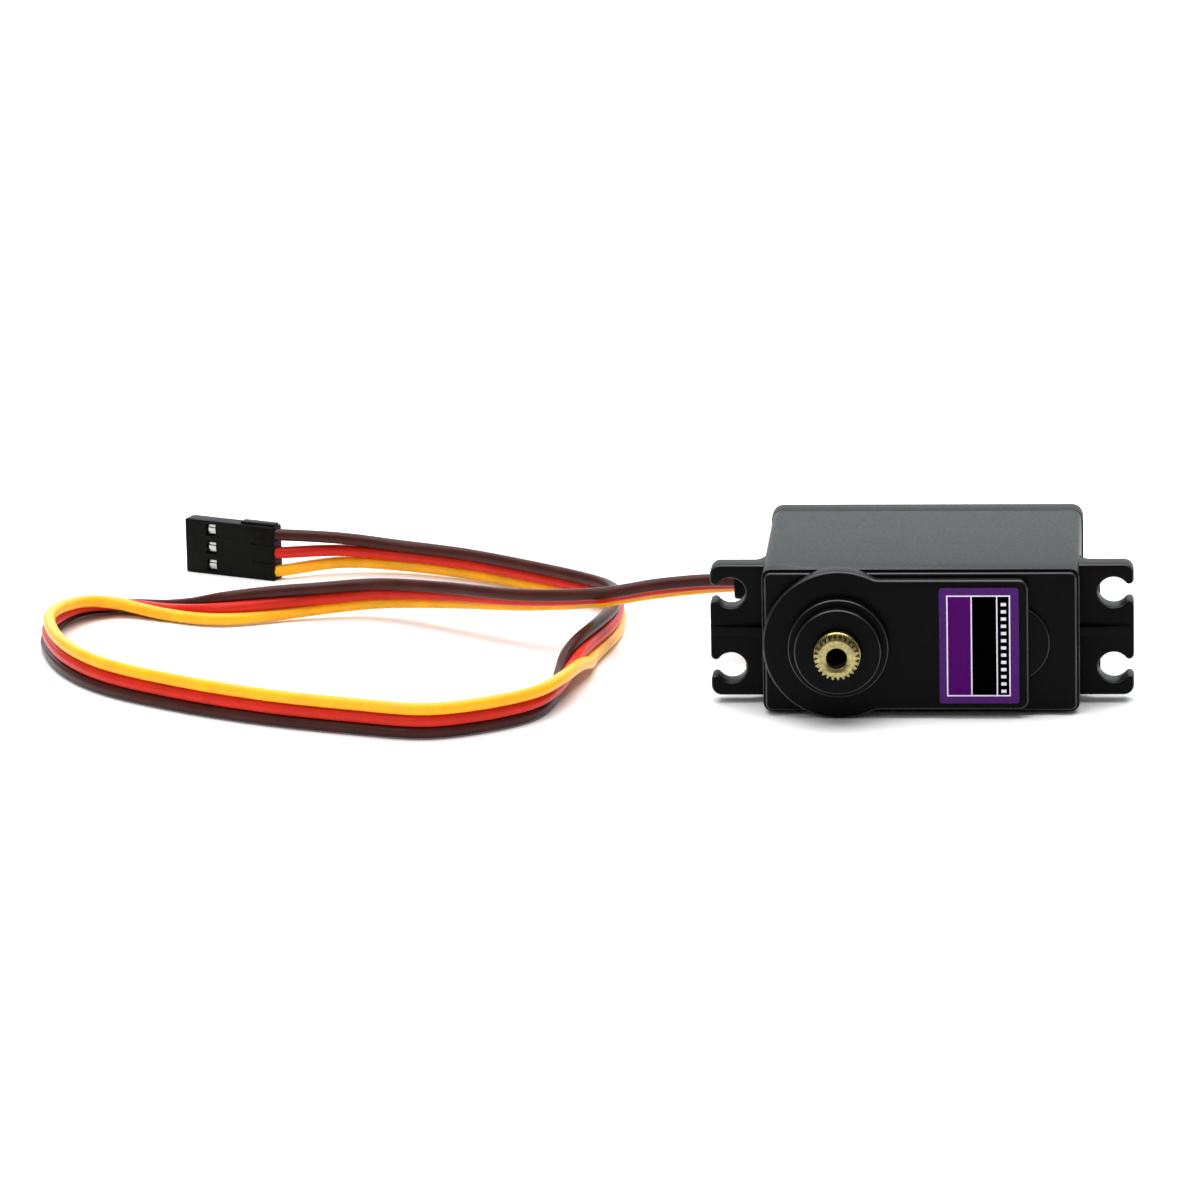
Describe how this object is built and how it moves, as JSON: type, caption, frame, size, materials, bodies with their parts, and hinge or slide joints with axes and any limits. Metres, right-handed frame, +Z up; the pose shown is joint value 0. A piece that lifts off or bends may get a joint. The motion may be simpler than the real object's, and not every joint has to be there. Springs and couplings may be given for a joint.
{
  "type": "servo motor",
  "caption": "Standard-size hobby servo with splined brass output shaft, metal gear train, slotted mounting ears and a three-core lead ending in a three-way connector.",
  "frame": {"origin": "on the resting plane, under the centre of the servo's own box, without the lead and its connector", "axes": "+X along the case towards the end away from the output shaft, -Y the way the output shaft points, +Z up across the case's width, as the servo lies on its broad side"},
  "size_m": [0.1463, 0.0861, 0.0196],
  "materials": {
    "black_plastic": "fine spark texture",
    "black_rubber": "smooth",
    "label_purple": "printed film",
    "steel": "bright",
    "bearing_steel": "ground",
    "motor_steel": "satin",
    "brass": "machined",
    "magnet": "sintered",
    "copper": "copper coloured",
    "white_plastic": "moulded",
    "board_green": "solder mask",
    "chip_black": "moulded epoxy",
    "capacitor": "sleeved",
    "terminal_tin": "tin plated",
    "wire_brown": "insulation",
    "wire_red": "insulation",
    "wire_orange": "insulation"
  },
  "bodies": {
    "root": {"case_bottom": "black_plastic", "case_middle": "black_plastic", "case_top": "black_plastic", "connector_housing": "black_plastic", "cable_grommet": "black_rubber", "label": "label_purple", "case_screw_1": "steel", "case_screw_2": "steel", "case_screw_3": "steel", "case_screw_4": "steel", "gear_pin_center": "steel", "gear_pin_motor": "steel", "motor_screw_1": "steel", "motor_screw_2": "steel", "bearing_upper_outer": "bearing_steel", "bearing_lower_outer": "bearing_steel", "motor_can": "motor_steel", "potentiometer_body": "motor_steel", "motor_end_cap": "white_plastic", "magnet_left": "magnet", "magnet_right": "magnet", "motor_terminal_plus": "copper", "motor_terminal_minus": "copper", "control_board": "board_green", "control_chip": "chip_black", "driver_chip": "chip_black", "capacitor": "capacitor", "connector_terminal_1": "terminal_tin", "connector_terminal_2": "terminal_tin", "connector_terminal_3": "terminal_tin", "wire_brown": "wire_brown", "wire_red": "wire_red", "wire_orange": "wire_orange"},
    "rotor": {"motor_shaft": "steel", "motor_pinion": "brass", "armature": "copper", "commutator": "copper"},
    "gear_1": {"gear_1": "brass"},
    "gear_2": {"gear_2": "brass"},
    "gear_3": {"gear_3": "brass"},
    "output": {"output_gear": "brass", "potentiometer_shaft": "white_plastic", "bearing_upper_inner": "bearing_steel", "bearing_lower_inner": "bearing_steel"}
  },
  "joints": [
    {"name": "motor_spin", "type": "hinge", "parent": "root", "child": "rotor", "pos_m": [0.00905, -0.00845, 0.0098], "axis": [0, -1, 0], "range_deg": [-15750, 15750]},
    {"name": "gear_1_spin", "type": "hinge", "parent": "root", "child": "gear_1", "pos_m": [0.00005, -0.00865, 0.0098], "axis": [0, -1, 0], "range_deg": [-3150.01, 3150.01]},
    {"name": "gear_2_spin", "type": "hinge", "parent": "root", "child": "gear_2", "pos_m": [0.00905, -0.01015, 0.0098], "axis": [0, -1, 0], "range_deg": [-787.51, 787.51]},
    {"name": "gear_3_spin", "type": "hinge", "parent": "root", "child": "gear_3", "pos_m": [0.00005, -0.01135, 0.0098], "axis": [0, -1, 0], "range_deg": [-225.01, 225.01]},
    {"name": "output_spin", "type": "hinge", "parent": "root", "child": "output", "pos_m": [-0.01045, -0.01265, 0.0098], "axis": [0, -1, 0], "range_deg": [-90.01, 90.01]}
  ],
  "couplings": [
    {"joint": "gear_1_spin", "follows": "motor_spin", "ratio": -0.2},
    {"joint": "gear_2_spin", "follows": "motor_spin", "ratio": 0.05},
    {"joint": "gear_3_spin", "follows": "motor_spin", "ratio": -0.014286},
    {"joint": "output_spin", "follows": "motor_spin", "ratio": 0.0057143}
  ]
}
